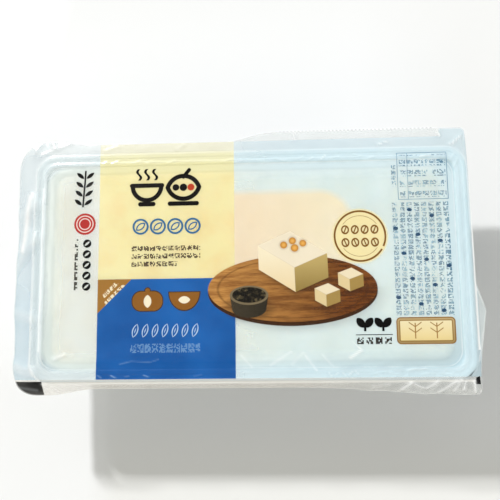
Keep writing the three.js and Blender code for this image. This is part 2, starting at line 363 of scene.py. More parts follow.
def cut_edge(track):
    """The film's cut edge: a rounded rectangle with its own radius at each corner, whose sides are
    moved out by the strips, flaps and folds of the loose margin. Along the back right the cut is
    toothed: every other station lies out."""
    radii = np.interp(track.mark, range(5), FILM_CORNERS + FILM_CORNERS[:1])
    x, y = track.loop(FILM_HALF[0], FILM_HALF[1], radii, FILM_MID)
    back = smooth(y, 36, 48)
    front = 1 - smooth(y, -44, -32)
    right = smooth(x, 70, 84)
    left = 1 - smooth(x, -90, -80)
    back_strip = BACK_STRIP * smooth(x, -8, 9)
    back_strip = back_strip + BACK_FLAP * np.interp(x, [-91, -79, -65], [0, 1, 0])
    front_strip = FRONT_STRIP * smooth(x, 18, 80) + FRONT_FLAP * (1 - smooth(x, -78, -58))
    side_fold = np.interp(y, [-39, -18.8, -9], [0, SIDE_FOLD, 0]) - SIDE_CUT * smooth(y, 24, 48)
    teeth = CUT_TEETH * (np.arange(x.size) % 2) * smooth(x, 8, 14) * (1 - smooth(x, 72, 74))
    ragged = 0.16 * np.sin(x / 3.1) + 0.1 * np.sin(x / 1.7 + 1)
    y = y + (back_strip + teeth * (y > 48)) * back
    y = y - (front_strip + ragged * smooth(x, 20, 50)) * front
    x = x + side_fold * right + 0.35 * np.sin(y / 7.5) * left
    return x, y


def film_rings(track):
    """Rings from the middle line out to the cut edge: by inset as far as the flange's edge, then
    by shares of the way from there to the cut. Gives x, y, and the inset as a column."""
    ends, steps = (HALF_WIDTH, 12, 8, 5.9, 3, 2.3, 0), (9, 8, 6, 18, 2, 14)
    inset = np.concatenate([
        *(np.linspace(*span, endpoint=False) for span in zip(ends, ends[1:], steps)), [0]])
    corner = np.interp(inset, [0, 1.2, 4.6, 5.4, 8, 14, 24, HALF_WIDTH],
                       [8.5, 7.7, 4.9, 4.4, 5, 8.5, 12, 0])
    inner_x, inner_y = track.inset(inset, corner)
    cut_x, cut_y = cut_edge(track)
    share = np.linspace(0, 1, 12)[1:, None]
    x = np.concatenate([inner_x, inner_x[-1] + (cut_x - inner_x[-1]) * share])
    y = np.concatenate([inner_y, inner_y[-1] + (cut_y - inner_y[-1]) * share])
    return x, y, np.concatenate([inset, np.zeros(share.size)])[:, None]


def film_height(x, y, inset):
    """The film over the flange's face: two flat-topped ridges that follow the rim and the mouth, a
    shallow hollow inside the mouth, the hanging margin, and each fold as a ridge that falls off
    with the squared distance from its line. Also gives how strong the painted highlight on the
    crests is."""
    ridges = sum(smooth(abs(inset - middle), 1.15, 0.55) for middle in RIDGES)
    lowered = FRONT_RIDGE_HEIGHT + (RIDGE_HEIGHT - FRONT_RIDGE_HEIGHT) * smooth(y, -38, -30)
    height = lowered * ridges
    height = height - MOUTH_HOLLOW * smooth(inset, 5.2, 9.5) + 0.05 * hump(inset, 8, 1.6)
    height = height + 0.08 * swell(x, y, 13, seed=11) * smooth(inset, 6, 12)
    past = np.maximum(0, (-HALF_LENGTH - x, x - HALF_LENGTH, -HALF_WIDTH - y, y - HALF_WIDTH))
    hang = -np.tensordot(MARGIN_SAG, past**2, 1)
    wave = 0.2 * np.sin(x / 4.1) * np.minimum(1, past[2] / 2)
    margin = np.minimum(1, past.sum(0) / 2)
    height = height + hang + wave + 0.05 * swell(x, y, 9, seed=12) * margin
    u, v = x - PRINT_SHIFT[0], y - PRINT_SHIFT[1]
    white = np.zeros(x.shape)
    for *places, rise, width, highlight_share in FOLDS:
        near = np.exp(-(off_line(u, v, places[:2], places[2:]) / width) ** 2)
        height = height + rise * near
        white = np.maximum(white, highlight_share * near**3)
    crumpled = smooth(u, 22, 40) * (v < 0) + 0.6 * smooth(u, -12, 20) * (v > 0)
    band = hump(inset, 2.7, 1.6) * crumpled
    height = height + 0.07 * (1 + swell(x, y, 2.2, seed=13)) * band
    return height, white


def make_film():
    """The thin sheet: the same rings above and below its middle, closed along the cut."""
    track = Track(230, 96, 15)
    x, y, inset = film_rings(track)
    height, white = film_height(x, y, inset)
    # A painted highlight along the cut edge.
    white[-1] = np.maximum(white[-1], 0.7)
    middle = FILM_FACE + height
    over, under = middle + FILM / 2, middle - FILM / 2
    pairs = ((x, x), (y, y), (over, under), (white, white))
    x, y, z, white = (np.concatenate([upper, lower[::-1]]) for upper, lower in pairs)
    return closed_mesh("lid_film", x, y, z, fold_white=white)


# ------------------------------ Shader nodes

SOFT_EDGE = 0.14  # how wide the edge of an inked shape is


def paint(code):
    """A colour written as 0xRRGGBB, as the linear values that a shader takes."""
    channels = np.array([code >> 16, code >> 8 & 255, code & 255]) / 255
    linear = np.where(channels <= 0.04045, channels / 12.92, ((channels + 0.055) / 1.055) ** 2.4)
    return (*linear.tolist(), 1)


def math_node(operation, reflected=False):
    """A method that works a Field and other values out with a Math node."""
    def method(self, *others):
        values = (self, *others)
        return self.join(operation, *(values[::-1] if reflected else values))
    return method


class Field:
    """A number that varies over a surface. Arithmetic on it adds Math nodes to its finish. Of two
    masks, | gives the union. Of two distances, | gives the overlap of the shapes and & their
    union."""

    def __init__(self, finish, socket):
        self.finish = finish
        self.socket = socket

    def join(self, operation, *values, clamp=False):
        """The result of a Math node."""
        settings = {"operation": operation, "use_clamp": clamp}
        node = self.finish.node("Math", settings, dict(enumerate(values)))
        return Field(self.finish, node.outputs[0])

    __add__, __radd__ = math_node("ADD"), math_node("ADD", True)
    __sub__, __rsub__ = math_node("SUBTRACT"), math_node("SUBTRACT", True)
    __mul__, __rmul__ = math_node("MULTIPLY"), math_node("MULTIPLY", True)
    __truediv__, __abs__ = math_node("DIVIDE"), math_node("ABSOLUTE")
    __or__, __and__ = math_node("MAXIMUM"), math_node("MINIMUM")
    above, below = math_node("GREATER_THAN"), math_node("LESS_THAN")
    sine, root = math_node("SINE"), math_node("SQRT")
    fraction, floor = math_node("FRACT"), math_node("FLOOR")

    def between(self, low, high):
        """0 at low and 1 at high, straight between them and held beyond."""
        scale = 1 / (high - low)
        return self.join("MULTIPLY_ADD", self, scale, -low * scale, clamp=True)

    def inside(self, soft=SOFT_EDGE):
        """Turns a distance into a mask: 1 inside the shape, 0 outside, soft mm wide at its
        edge."""
        return self.join("MULTIPLY_ADD", self, -1 / soft, 0.5, clamp=True)


class Nodes:
    """The nodes of one material, lamp or surround."""

    def __init__(self, owner):
        owner.use_nodes = True
        self.tree = owner.node_tree
        self.tree.nodes.clear()

    def node(self, kind, settings={}, sockets={}):
        """Adds a node, makes its settings, then gives its sockets their values or links."""
        made = self.tree.nodes.new("ShaderNode" + kind)
        for key, value in settings.items():
            setattr(made, key, value)
        for key, value in sockets.items():
            value = value.socket if isinstance(value, Field) else value
            if isinstance(value, bpy.types.NodeSocket):
                self.tree.links.new(value, made.inputs[key])
            else:
                made.inputs[key].default_value = value
        return made

    def vector(self, operation, *values, output=0, **named):
        """A Vector Math node's result as a socket."""
        sockets = {**dict(enumerate(values)), **named}
        return self.node("VectorMath", {"operation": operation}, sockets).outputs[output]

    def length(self, operation, *values):
        """The number that a Vector Math node gives, such as a length or a dot product."""
        return Field(self, self.vector(operation, *values, output="Value"))

    def split(self, vector):
        """The three numbers of a vector."""
        parts = self.node("SeparateXYZ", {}, {0: vector}).outputs
        return [Field(self, part) for part in parts]

    def span(self, x, y):
        """How far the point (x, y) lies from the middle."""
        point = self.node("CombineXYZ", {}, {"X": x, "Y": y}).outputs[0]
        return self.length("LENGTH", point)

    def mix_numbers(self, factor, a, b):
        """a where the factor is 0 and b where it is 1. The sockets are those of a Mix of
        numbers."""
        node = self.node("Mix", {"data_type": "FLOAT"}, {0: factor, 2: a, 3: b})
        return Field(self, node.outputs[0])

    def mix(self, factor, a, b):
        """The same for colours, each a socket, linear values or 0xRRGGBB. The sockets are those of
        a Mix of colours."""
        a, b = (paint(value) if isinstance(value, int) else value for value in (a, b))
        node = self.node("Mix", {"data_type": "RGBA"}, {0: factor, 6: a, 7: b})
        return node.outputs[2]


class Finish(Nodes):
    """A material and the nodes that give it its finish."""

    def __init__(self, name):
        self.material = bpy.data.materials.new(name)
        super().__init__(self.material)
        place = self.node("TexCoord").outputs["Object"]
        self.millimetres = self.vector("SCALE", place, Scale=1 / MM)

    def noise(self, size, detail=2, roughness=0.5, stretch=(1, 1, 1)):
        """Soft noise from 0 to 1 whose lumps are about size mm across."""
        place = self.vector("MULTIPLY", self.millimetres, tuple(share / size for share in stretch))
        sockets = {"Vector": place, "Scale": 1, "Detail": detail, "Roughness": roughness}
        return Field(self, self.node("TexNoise", {}, sockets).outputs["Fac"])

    def bump(self, height, distance):
        """The normal of a skin whose lumps rise by distance mm."""
        sockets = {"Distance": distance * MM, "Height": height}
        return self.node("Bump", {}, sockets).outputs["Normal"]

    def skin(self, **sockets):
        """The Principled shader, with its sockets by name."""
        named = {key.replace("_", " "): value for key, value in sockets.items()}
        return self.node("BsdfPrincipled", {}, named).outputs[0]

    def opening(self, share):
        """A clear shader that lets the given share of the light through."""
        sockets = {"Color": (share, share, share, 1)}
        return self.node("BsdfTransparent", {}, sockets).outputs[0]

    def blend(self, factor, first, second):
        """The first shader where the factor is 0, the second where it is 1."""
        return self.node("MixShader", {}, {0: factor, 1: first, 2: second}).outputs[0]

    def show(self, body, passed=None):
        """Joins the body to the material's output. passed, if given, takes its place for the rays
        that ask whether a lamp is seen."""
        if passed is not None:
            to_lamps = self.node("LightPath").outputs["Is Shadow Ray"]
            body = self.blend(to_lamps, body, passed)
        self.node("OutputMaterial", {}, {"Surface": body})
        return self.material


# ------------------------------ Print on the film

# A box on the print has a left, right, bottom and top, and some have a corner radius.
PANELS_LEFT, PANELS_SEAM = -59.3, -7.7
STRIP_EDGE = -45.9  # where the tint and the panels stop along the front
YELLOW_PANEL = (PANELS_LEFT, -5.8, PANELS_SEAM, 46.6)
BLUE_PANEL = (PANELS_LEFT, -5.7, STRIP_EDGE, PANELS_SEAM)
FLANGE_FACE = (-85.3, 84.6, -47.3, 42.4, 8.2)
BLOCK_FACE = (-77.7, 77, -39.7, 34.8, 5.5)
WORDS_LEFT = -46.2  # where the rows on both panels begin

# Opacities of the inks
SOLID, THICK, DENSE, FIRM, THIN = 0.998, 0.98, 0.97, 0.95, 0.9


class Print(Finish):
    """The flat print: its own millimetre coordinates, distances to plain shapes, and the ink laid
    so far, as a colour and an opacity. Distances are negative inside a shape."""

    def __init__(self, name, colour, opacity):
        super().__init__(name)
        shift = (-PRINT_SHIFT[0], -PRINT_SHIFT[1], 0)
        self.u, self.v, _ = self.split(self.vector("ADD", self.millimetres, shift))
        flat = self.node("CombineXYZ", {}, {"X": self.u, "Y": self.v, "Z": 1})
        self.point = flat.outputs[0]
        self.colour, self.opacity = colour, opacity

    def lay(self, mask, colour, opacity=DENSE):
        """Lays ink where the mask is 1."""
        self.colour = self.mix(mask, self.colour, colour)
        self.opacity = self.mix_numbers(mask, self.opacity, opacity)

    def ink(self, shape, colour, opacity=DENSE, soft=SOFT_EDGE):
        """Lays ink inside a shape."""
        self.lay(shape.inside(soft), colour, opacity)

    def disc(self, centre, radius):
        """Distance from the centre less the radius."""
        return self.length("DISTANCE", self.point, (*centre, 1)) - radius

    def box(self, left, right, bottom, top, corner=0):
        """How far outside a box whose corners are rounded: the length of what lies beyond the box
        of the corners' centres, less the corner radius."""
        middle = ((left + right) / 2, (bottom + top) / 2, 1)
        half = ((right - left) / 2 - corner, (top - bottom) / 2 - corner, 0)
        off = self.vector("ABSOLUTE", self.vector("SUBTRACT", self.point, middle))
        beyond = self.vector("SUBTRACT", off, half)
        if corner:
            return self.length("LENGTH", self.vector("MAXIMUM", beyond, (0, 0, 0))) - corner
        across, up, _ = self.split(beyond)
        return across | up

    def ellipse(self, centre, radii):
        """The distance from the centre in units of the radii, less 1, times the smaller radius."""
        moved = self.vector("SUBTRACT", self.point, (*centre, 1))
        scaled = self.vector("MULTIPLY", moved, (1 / radii[0], 1 / radii[1], 0))
        return (self.length("LENGTH", scaled) - 1) * min(radii)

    def side(self, start, end):
        """Distance to the right of the line from start to end."""
        along = np.subtract(end, start) / math.dist(start, end)
        offset = along[0] * start[1] - along[1] * start[0]
        return self.length("DOT_PRODUCT", self.point, (along[1], -along[0], offset))

    def leaf(self, x, y, length, width, turn=0):
        """The overlap of two discs whose centres lie to either side of the leaf's middle line.
        Their radius is the sum of the squares of length and width over four widths. x and y are
        measured from the leaf's middle."""
        radius = (length**2 + width**2) / (4 * width)
        angle = math.radians(turn)
        off = radius - width / 2
        aside = (-off * math.sin(angle), off * math.cos(angle))
        upper = self.span(x + aside[0], y + aside[1])
        return (upper | self.span(x - aside[0], y - aside[1])) - radius

    def polygon(self, *corners):
        """The largest distance outside any side, for corners given counter-clockwise."""
        farthest, *others = [self.side(a, b) for a, b in zip(corners, corners[1:] + corners[:1])]
        for distance in others:
            farthest = farthest | distance
        return farthest

    def stroke(self, start, end, width):
        """Distance from the straight piece between two points, less half the stroke's width."""
        along = np.subtract(end, start)
        off = self.vector("SUBTRACT", self.point, (*start, 1))
        share = self.length("DOT_PRODUCT", off, (*(along / (along @ along)), 0))
        share = share.join("ADD", share, 0, clamp=True)
        reached = self.vector("SCALE", (*along, 0), Scale=share)
        return self.length("DISTANCE", off, reached) - width / 2

    def specks(self, share, across, up, start=(0, 0)):
        """Small upright specks: one draw for each cell of a grid, kept below the share."""
        off = self.vector("SUBTRACT", self.point, (*start, 0))
        cells = self.vector("FLOOR", self.vector("MULTIPLY", off, (1 / across, 1 / up, 0)))
        draw = self.node("TexWhiteNoise", {}, {"Vector": cells}).outputs["Value"]
        return Field(self, draw).below(share)

    def rows(self, along, pitch, start, fill):
        """1 on evenly spaced bars: the share of each pitch, counted from start, below fill."""
        return ((along - start) / pitch).fraction().below(fill)

    def repeat(self, along, pitch, start):
        """The distance from the middle of each pitch, counted from start."""
        return ((along - start) / pitch).fraction() * pitch - pitch / 2


def lay_tint(lid, u, v, cloud):
    """Clear film with a milky pale blue tint that stops short of the strips along the back and
    front, greyer to the left. A haze round the block's edge is painted light over the shaded
    ledge below and, darker at the front right, painted shade of the wrinkles there; the loose
    margin, which hangs away from the light, is laid a deeper blue as painted shade."""
    leftwards, rightwards = u.between(20, -60), u.between(20, 60)
    back_strip = (46.5 - v) | (-8 - u) | (u - 74.6)
    front_strip = (v - STRIP_EDGE).inside(0.3)
    tinted = (1 - back_strip.inside(0.3)) * (1 - front_strip)
    side_fold = (u - 85.6).between(0, 0.6)
    blue_tint = lid.mix(cloud, 0xC9E7F3, 0xD9F0F8)
    grey_tint = lid.mix(cloud, 0xD4E4E9, 0xE3EEF1)
    tint = lid.mix(leftwards, blue_tint, grey_tint)
    lid.lay(tinted * (1 - side_fold), tint, 0.54 - 0.07 * leftwards)
    # Painted light: a pale haze over the band round the block's edge lifts the shade of the ledge
    # below; towards the front right it is darker, painted shade of the wrinkles there.
    off_block = lid.box(*BLOCK_FACE) + (cloud - 0.5) * 3
    wet = off_block.between(-4.5, -0.8) * off_block.between(3.4, 1.4)
    gap_light_and_shade = lid.mix(u.between(14, 62), 0xDEEDF0, 0xC6D7DB)
    gap_light_and_shade = lid.mix(v.between(-16, -38), 0xDCECF1, gap_light_and_shade)
    gap_light_and_shade = lid.mix(leftwards, gap_light_and_shade, 0xE7EEE8)
    lid.lay(wet * 0.85, gap_light_and_shade, 0.84)
    # Painted shade: the loose margin hangs away from the light and is laid a deeper blue.
    loose = lid.box(*FLANGE_FACE).between(-0.2, 0.7) * tinted
    margin_shade = u.below(-80) * (0.3 + 0.7 * v.between(38, -22)) | (0.25 * u.between(-40, 10))
    lid.lay(loose * margin_shade, 0xB4D4E4, 0.6)
    lid.lay(front_strip, lid.mix(rightwards, 0xE3DED4, 0xD4D7D5), 0.5 - 0.12 * rightwards)
    lid.lay(side_fold, 0xEAF4F6, 0.62)


def lay_ridge_light_and_shade(lid, u, v):
    """Thin pale and dark lines over the flange: pale ones are painted highlights, dark ones
    painted shade. A pale band on the front rim, a highlight along the right edge, a pale line on
    the mouth's edge and a dark one on the step outside it, a dark band over the left rim, a pale
    line over the shaded gap at the left, painted shade of wrinkles at the front right and a
    dark line just inside the front rim. Each line fades in from the first distance to the
    second."""
    uneven = lid.noise(4).between(0.3, 0.6)
    wrinkle_shade = lid.noise(3, detail=3).between(0.4, 0.6)
    mouth = abs(lid.box(-81.3, 78.9, -42, 37.3, 6))
    step = abs(lid.box(-82, 81.9, -43.1, 39.2, 7))
    # Pale lines are painted highlights, dark lines painted shade.
    for line, fade, share, colour, opacity in (
        (lid.box(-84, 83, -47.8, -46.9, 0.3), (0.25, -0.3), 0.85, 0xF1EFEA, 0.85),
        (lid.box(84.9, 85.5, -36, 44), (0.3, -0.1), 1, 0xFDFEFE, 0.92),
        (mouth, (0.32, 0.05), 0.25 + 0.35 * uneven, 0xFAFDFE, 0.8),
        (step, (0.35, 0.1), 0.4 * uneven, 0xBFD0D7, 0.75),
        (lid.box(-85.1, -82.9, -40, 28), (0.4, -0.2), 0.42, 0xBFD2D8, 0.66),
        (lid.box(-81, -80, -38, 22), (0.5, -0.3), 0.4, 0xF0F7F6, 0.8),
        (lid.box(34, 74, -44.6, -41.8), (1.2, -0.4), 0.55 * wrinkle_shade, 0xC2D6DE, 0.72),
        (lid.box(-81, 81, -46.62, -46.18), (0.25, -0.1), 0.8, 0xBEC8CB, 0.85),
    ):
        lid.lay(line.between(*fade) * share, colour, opacity)


def lay_panels(lid, u, v):
    """The yellow and blue panels and the brown corner flash."""
    patches, cloudy = lid.noise(9).between(0.4, 0.75), lid.noise(16).between(0.35, 0.7)
    toward_back = v.between(30, 35)
    yellow = lid.mix(patches, 0xF0EAA8, 0xF0DF98)
    yellow = lid.mix(toward_back, yellow, 0xF2ECB6)
    lid.ink(lid.box(*YELLOW_PANEL), yellow, 0.6 + 0.18 * toward_back * v.below(38.4))
    lid.ink(lid.box(*BLUE_PANEL), lid.mix(cloudy, 0x0A57A3, 0x1666B6), 0.975)
    left, top = PANELS_LEFT, PANELS_SEAM
    flash = lid.polygon((left, top - 13.2), (left + 13.2, top), (left, top))
    across = lid.side((left, top - 8.9), (left + 8.9, top))
    along = (u + v + 66.3) * math.sqrt(0.5)
    bars = (abs(across) - 0.75) & (abs(across - 2.6) - 0.75)
    bars = bars | (abs(along) - 3.6 - across * 0.6)
    dashes = bars.inside() * lid.rows(along, 1.85, 0.1, 0.8) * lid.specks(0.72, 0.5, 0.5)
    lid.ink(flash, lid.mix(dashes, 0xA5742E, 0xF3E6C4))


def lay_emblems(lid, u, v):
    """Two line drawings above the blue roundels: a steaming bowl and a bean pod with one red
    bean."""
    pen, ground, steam_y = 1.8, 21.9, 33.8
    x, y = -40.4, 29.2
    bowl = (abs(lid.disc((x, y), 5.7)) - pen / 2) | (v - y)
    rim = lid.stroke((x - 6, y + 0.2), (x + 6, y + 0.2), pen)
    foot = lid.stroke((x - 2.6, ground), (x + 2.6, ground), pen)
    away = abs(u - x + ((v - steam_y) * 1.35).sine() * 0.7)
    steam = ((away & abs(away - 3.2)) - 0.55) | (abs(v - steam_y) - 2.3)
    x, y = -25.9, 28.4
    pod = abs(lid.leaf(u - x, v - y, 12.4, 9.2)) - pen / 2
    beans = lid.disc((x - 3, y), 1.35) & lid.disc((x, y), 1.5)
    stem = lid.stroke((x, y + 4.2), (x + 2.3, y + 7), 1.5)
    base = lid.stroke((x - 5.3, ground), (x + 5.3, ground), pen)
    lid.ink(bowl & rim & foot & steam & pod & beans & stem & base, 0x080503, SOLID)
    lid.ink(lid.disc((x + 3, y), 1.4), 0xBE3A17)


def lay_roundels(lid, u, v):
    """Four blue rings in a row, each round a leaf, and three lines of small brown words."""
    across, level = lid.repeat(u, 6.85, WORDS_LEFT), v - 12.9
    ring = abs(lid.span(across, level) - 2.8) - 0.42
    leaf = abs(lid.leaf(across, level, 4, 2, 40)) - 0.28
    lid.ink((ring & leaf) | lid.box(-46.3, -18.9, 8.6, 17.2), 0x2B6A9A, FIRM)
    wide, high, low = 2.42, 3.05, -2.85
    lines = lid.rows(v, high, low, 0.625) * lid.rows(u, wide, WORDS_LEFT, 5 / 6)
    window = lid.box(WORDS_LEFT, -19.2, -0.2, 5.2) & lid.box(WORDS_LEFT, -28.2, -3, -0.6)
    words = lines * lid.specks(0.62, wide / 6, high / 8, (WORDS_LEFT, low)) * window.inside(0.1)
    lid.lay(words, 0x4F3D22, THIN)


def lay_dish_marks(lid, u, v):
    """A pot and a half bowl in brown, each with a pale leaf, over two rows on the blue panel."""
    pot_x, bowl_x, bowl_y, seed_y = -39.7, -25.4, -12.9, -27.6
    pot = lid.box(-45.8, -33.7, -20.2, -12.4, 3.6) & lid.disc((pot_x, -12.2), 1.1)
    bowl = lid.ellipse((bowl_x, bowl_y), (6.1, 7.2)) | (v - bowl_y)
    leaf = lid.leaf(u - pot_x, v + 16.4, 5, 3, 90)
    both = pot & bowl
    lid.ink(both, 0x925D1A)
    lid.ink(abs(both) - 0.2, 0x43311C)
    lid.ink(leaf & lid.leaf(u - bowl_x, v + 16, 4.6, 2.8), 0xF5ECD2)
    across = lid.repeat(u, 3.86, -46.3)
    hull = lid.leaf(across, v - seed_y, 5.4, 2.3, 72)
    kernel = lid.leaf(across, v - seed_y, 3.7, 0.9, 72)
    seeds = hull | (0.3 - abs(kernel)) | lid.box(WORDS_LEFT, -19.3, -30.9, -24.3)
    lid.lay(seeds.inside() * 0.92, 0xC4DDF3, FIRM)
    line = lid.box(WORDS_LEFT, -19.3, -36, -32.6).inside()
    line = line * lid.rows(u, 2.8, WORDS_LEFT, 6 / 7)
    line = line * lid.specks(0.58, 0.4, 3.4 / 8, (WORDS_LEFT, -36))
    lid.lay(line * 0.8, 0x6C9FD3, THIN)


def lay_side_marks(lid, u, v):
    """Upright marks at the left: a leafy twig, a red roundel, a column of discs with a pale leaf
    in each and a line of tiny words."""
    twig, level = u + 65.6 - (v - 28) * 0.06, abs(v - 28.6)
    stem = (abs(twig) - 0.36) | (level - 7.4)
    leaves = lid.leaf(abs(twig) - 2, lid.repeat(v, 3.6, 21.4), 3.9, 1.5, 38) | (level - 7.2)
    across, up = u + 63.9, lid.repeat(v, 4.22, 8.7)
    discs = (lid.span(across, up) - 1.65) | (0 - lid.leaf(across, up, 2.6, 0.8, 40))
    lid.ink(stem & leaves & (discs | (abs(v + 1.85) - 10.5)), 0x080808, SOLID)
    small = lid.box(-68.8, -67.5, -12, 8.4).inside() * lid.rows(v, 3.9, 0, 0.84)
    lid.lay(small * lid.specks(0.62, 0.65, 0.65, (-68.8, 0)), 0x222222, THIN)
    roundel = lid.disc((-65, 14.4), 4.3)
    lid.ink(roundel, 0xB92B26)
    lid.ink(abs(abs(roundel + 1.6) - 0.55) - 0.2, 0xF5E0DA, FIRM)


def lay_cut(lid, foot, left, right, rise, shades):
    """A cut piece seen from above its near edge: a shadow, two sides and a top. foot is the near
    bottom corner, left and right lead to the next corners, and shades are the sides' and then the
    top's."""
    foot, left, right, rise = (np.array(part) for part in (foot, left, right, rise))
    shadow = lid.polygon(foot - (0.3, 0.9), foot + right + (1.5, -0.6),
                         foot + right + left * 0.4, foot + left * 0.9)
    lid.lay(shadow.between(1.2, -0.8) * 0.55, 0x3A1D0A)
    for start, first, second, shade in (
        (foot + left, -left, rise, shades[0]),
        (foot, right, rise, shades[1]),
        (foot + rise, right, left, shades[2]),
    ):
        face = lid.polygon(start, start + first, start + first + second, start + second)
        lid.ink(face, shade, soft=0.2)


def lay_serving(lid, u, v):
    """The serving picture: a soft cream ground, an oval wooden board, a block with golden grains
    on top and two cut cubes at its right, and a dark dish at its left."""
    glow = lid.box(-24, 41, -22, 27, 14).between(0.3, -2.6) * u.above(-5.75)
    lid.lay(glow, lid.mix(u.between(-6, 34), 0xEFE0C6, 0xEFE8CE), 0.66)
    shade = lid.ellipse((17.6, -14.4), (33.2, 14.2)).between(1.6, -2.2) * 0.5
    lid.lay(shade * v.below(-12) * u.above(-5.7), 0x8E9A9C, 0.75)
    lid.ink(lid.ellipse((16.2, -13.5), (32.4, 13)), 0x3E2009, THICK)
    board = lid.ellipse((16.2, -12.2), (32.4, 12.8))
    grain = lid.noise(3.4, detail=4, roughness=0.7, stretch=(0.22, 2, 1)).between(0.38, 0.62)
    light_wood = lid.mix(grain, 0xD39A52, 0x9C6630)
    dark_wood = lid.mix(grain, 0x824A1A, 0x4E260B)
    lid.ink(board, lid.mix(u.between(-14, 36), light_wood, dark_wood), THICK)
    lid.lay((abs(board + 1.5) - 0.16).inside(0.3) * 0.5, 0x4A250C, THICK)
    block_shades = (
        lid.mix(v.between(-13, 1), 0xECD8AC, 0xF4E9CC),
        lid.mix(v.between(-15, -2), 0x8F7638, 0xC0A868),
        lid.mix(lid.noise(5), 0xEFE4CB, 0xF0E6D0),
    )
    lay_cut(lid, (17.5, -13.6), (-14, 8.8), (12.6, 5.4), (-0.3, 9.4), block_shades)
    cube_shades = (0xE3CF9E, 0xA98C4C, 0xEEE1C2)
    for foot in ((38.2, -13.6), (29.2, -19.4)):
        lay_cut(lid, foot, (-4.4, 2.5), (5.2, 1.9), (-0.1, 4.6), cube_shades)
    grains = lid.disc((13.2, 4.6), 1.35) & lid.disc((16.6, 6.2), 1.35)
    grains = grains & lid.disc((17.4, 3.4), 1.45) & lid.disc((20.6, 5.2), 1.3)
    lid.lay(grains.between(0.9, 0) * 0.35, 0x9A7A4A)
    lid.ink(grains, lid.mix(grains.between(-1.1, 0.1), 0xEFB65A, 0xB9771E))
    x, rim_y, base_y = -0.4, -14.6, -19.6
    base = lid.ellipse((x, base_y), (6.6, 3.6))
    side = lid.polygon((x - 6.6, base_y), (x + 6.6, base_y), (x + 7.4, rim_y), (x - 7.4, rim_y))
    lid.lay(base.between(2.4, 0) * 0.55, 0x2C1606)
    lid.ink(base & side, lid.mix(u.between(-7, 6), 0x40382A, 0x2A251B), THICK)
    lid.ink(lid.ellipse((x, rim_y), (7.4, 3.7)), 0x7A6C52, THICK)
    glints = lid.noise(1.4).between(0.5, 0.68)
    filling = lid.mix(glints, 0x0D0A06, 0x5B5038)
    lid.ink(lid.ellipse((x, rim_y + 0.1), (6.5, 3)), filling, THICK)


def lay_badge(lid, u, v):
    """The round badge: cream, with a broken brown ring, two thin arcs and two rows of brown
    beans."""
    u, v = u - 42.6, v - 7.6  # from the badge's middle
    away = lid.span(u, v)
    lid.lay((away - 10.6).between(0.5, -0.4), 0xF2E6B2, 0.92)
    gap = abs(u * 0.55 + v).below(0.7) * u.above(0)
    ring = (abs(away - 9.7) - 0.36).inside() * (1 - gap)
    arcs = (abs(away - 7.9) - 0.08).inside() * abs(v).above(4.6)
    across, level = lid.repeat(u, 3.75, -7.5), abs(v) - 2.5
    oval = (lid.span(across / 1.5, level / 1.75) - 0.84) * 1.6
    slit = abs(across - level * 0.4) - 0.26
    beans = ((abs(oval) - 0.3) & (slit | oval)) | (abs(u) - 7.5)
    lid.lay(ring | arcs | beans.inside(), 0x7E5318)


def lay_facts(lid, u, v):
    """The framed table, the small upright columns with their dots, and the label before them."""
    left, wide, high = 55.25, 2.79, 2.1
    frame_line = abs(lid.box(57.9, 76.9, 21.6, 40)) - 0.12
    lid.ink(frame_line & lid.box(61.65, 61.85, 21.6, 40), 0x4B7A97, THIN, soft=0.12)
    upright = lid.rows(v, high, 0, 0.8) * lid.specks(0.66, wide / 7, high / 5, (left, 0))
    lumps = lid.noise(6, detail=1, stretch=(3, 1, 1))
    facts = (lid.box(55.3, 77.3, -23, 20.4) & lid.box(55.5, 57.5, 26.8, 35.2)).inside()
    facts = facts * lid.rows(u, wide, left, 5 / 7) * lumps.above(0.31)
    table = lid.box(58.6, 76.3, 22.2, 39.2).inside() * lid.rows(v, 4.1, 22.4, 0.62)
    table = table * lid.rows(u, 2.9, 58.6, 0.86) * lumps.above(0.36)
    ink = lid.mix(lumps.between(0.4, 0.62), 0x86AEC3, 0x5288A8)
    lid.lay((facts | table) * upright, ink, 0.75)
    column = ((u - left) / wide).floor()
    across = lid.repeat(u, wide, left) + wide / 2 - 1.05
    down = lid.repeat(v + column * 9.7, 26.6, -3)
    dots = (lid.span(across / 0.95, down / 0.68) - 1) * 0.7
    lid.ink(dots | lid.box(55.2, 77.3, -23, 20.4), 0x174A70, FIRM)


def lay_plaque(lid, u, v):
    """The gold-framed plaque and, before it, two black sprouts over a rule and a row of words."""
    plate = lid.box(55, 77, -33.8, -23.7, 1.7)
    lid.ink(plate, 0x8E6428)
    lid.ink(plate + 0.4, lid.mix(v.between(-33, -24), 0xA68B5A, 0xC1A778))
    lid.ink(abs(plate + 1.2) - 0.16, 0x94702F)
    lid.ink(plate + 1.4, lid.mix(v.between(-33, -25), 0xE9D494, 0xF0E4BC))
    aside = abs(abs(u - 66) - 4)
    veins = abs(abs(v + 28.4 - aside * 0.7) - 1.1) - 0.2
    sprigs = ((aside - 0.2) | (abs(v + 28.8) - 2.9)) & (veins | (aside - 2.4))
    lid.ink(sprigs, 0x9E7430, FIRM)
    aside = abs(abs(u - 46.7) - 3.4)
    leaves = lid.leaf(aside - 1.55, v + 25.6, 4.6, 2.9, 52)
    stems = (aside - 0.45) | (abs(v + 27.2) - 1.6)
    rule = lid.stroke((39.9, -30.1), (53.4, -30.1), 0.32)
    lid.ink(leaves & stems & rule, 0x080808, SOLID)
    left, low = 40.1, -33.6
    words = lid.box(left, 53.2, low, -31.1).inside() * lid.rows(u, 3.5, left, 5 / 7)
    lid.lay(words * lid.specks(0.64, 0.5, 0.5, (left, low)), 0x1C1C1C, FIRM)


